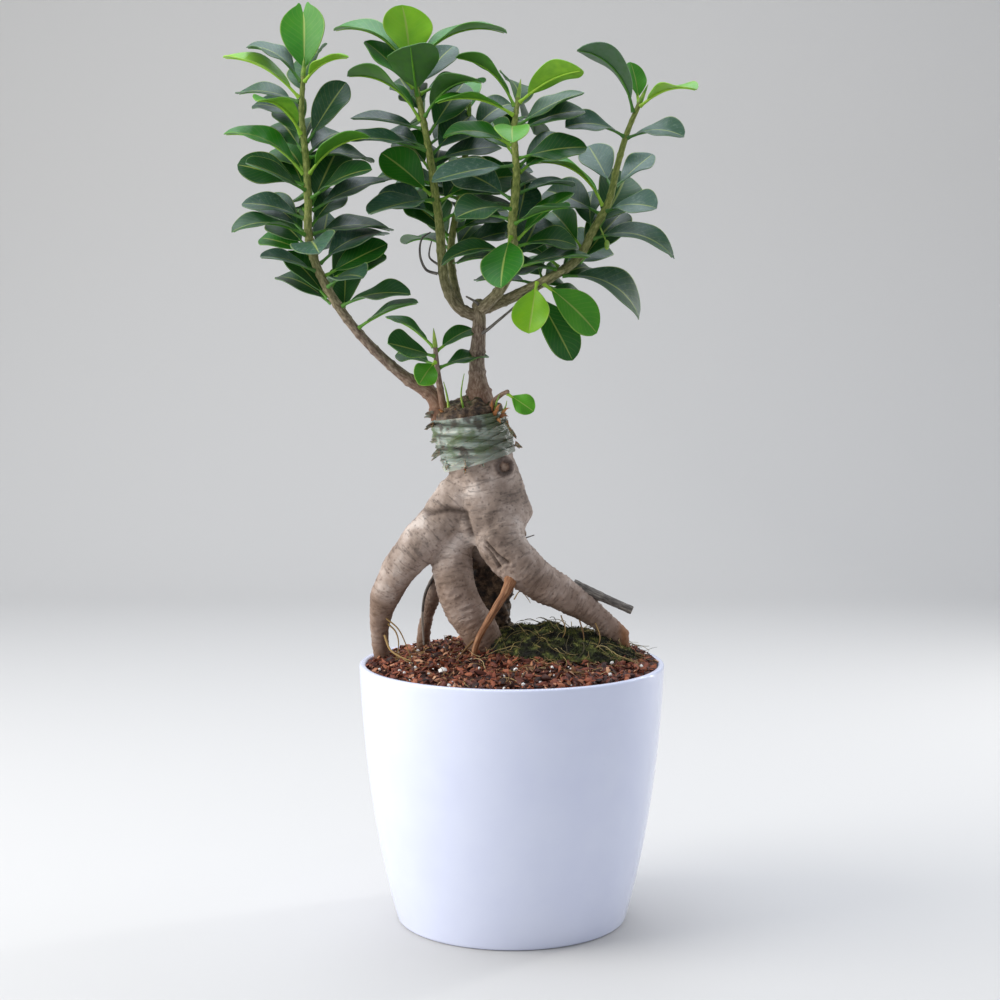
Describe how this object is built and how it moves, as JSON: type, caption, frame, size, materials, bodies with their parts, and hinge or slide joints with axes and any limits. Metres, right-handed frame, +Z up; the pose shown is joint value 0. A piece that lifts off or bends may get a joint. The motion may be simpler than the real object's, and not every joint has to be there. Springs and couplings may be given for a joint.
{
  "type": "potted bonsai tree",
  "caption": "Grafted fig bonsai with swollen bare roots, a taped graft and shoots of glossy oval leaves, standing in soil in a round tapered plastic pot.",
  "frame": {"origin": "middle of the pot's underside, on the surface it stands on", "axes": "+Z up along the pot's axis, -Y towards the viewer, +X to the viewer's right"},
  "size_m": [0.2244, 0.15, 0.4462],
  "materials": {
    "pot_plastic": "white injection-moulded polypropylene, glossy",
    "potting_mix": "damp red-brown coco chips with white perlite",
    "moss": "dark green moss with dry straw-coloured root fibre",
    "root_bark": "thin smooth grey-beige bark with dark cross rings",
    "graft_film": "translucent grey-green wrapping film, creased",
    "shoot_bark": "brown bark, turning green towards each tip",
    "leaf": "leathery, waxy dark green blade with a lighter midrib",
    "young_leaf": "soft yellow-green young blade"
  },
  "bodies": {
    "root": {"pot": "pot_plastic", "rootstock": "root_bark", "soil": "potting_mix", "moss_cushion": "moss", "graft_tape": "graft_film", "trunk": "shoot_bark", "shoot_left": "shoot_bark", "leaf_shoot_left_01": "leaf", "leaf_shoot_left_02": "leaf", "leaf_shoot_left_03": "young_leaf", "leaf_shoot_left_04": "leaf", "leaf_shoot_left_05": "leaf", "leaf_shoot_left_06": "leaf", "leaf_shoot_left_07": "leaf", "leaf_shoot_left_08": "leaf", "leaf_shoot_left_09": "leaf", "leaf_shoot_left_10": "leaf", "leaf_shoot_left_11": "leaf", "leaf_shoot_left_12": "leaf", "leaf_shoot_left_13": "leaf", "leaf_shoot_left_14": "leaf", "leaf_shoot_left_15": "leaf", "leaf_shoot_left_16": "leaf", "shoot_centre_left": "shoot_bark", "leaf_shoot_centre_left_01": "young_leaf", "leaf_shoot_centre_left_02": "leaf", "leaf_shoot_centre_left_03": "leaf", "leaf_shoot_centre_left_04": "leaf", "leaf_shoot_centre_left_05": "leaf", "leaf_shoot_centre_left_06": "leaf", "leaf_shoot_centre_left_07": "leaf", "leaf_shoot_centre_left_08": "leaf", "shoot_back": "shoot_bark", "leaf_shoot_back_01": "leaf", "leaf_shoot_back_02": "leaf", "leaf_shoot_back_03": "leaf", "leaf_shoot_back_04": "leaf", "shoot_centre_right": "shoot_bark", "leaf_shoot_centre_right_01": "young_leaf", "leaf_shoot_centre_right_02": "leaf", "leaf_shoot_centre_right_03": "leaf", "leaf_shoot_centre_right_04": "leaf", "leaf_shoot_centre_right_05": "leaf", "leaf_shoot_centre_right_06": "leaf", "shoot_right": "shoot_bark", "leaf_shoot_right_01": "young_leaf", "leaf_shoot_right_02": "leaf", "leaf_shoot_right_03": "leaf", "leaf_shoot_right_04": "leaf", "leaf_shoot_right_05": "leaf", "leaf_shoot_right_06": "leaf", "leaf_shoot_right_07": "leaf", "twig_low": "shoot_bark", "leaf_twig_low_01": "young_leaf", "leaf_twig_low_02": "leaf", "sucker_front": "shoot_bark", "leaf_sucker_front_01": "leaf", "leaf_sucker_front_02": "leaf", "sucker_right": "shoot_bark", "leaf_sucker_right_01": "leaf"}
  },
  "joints": []
}
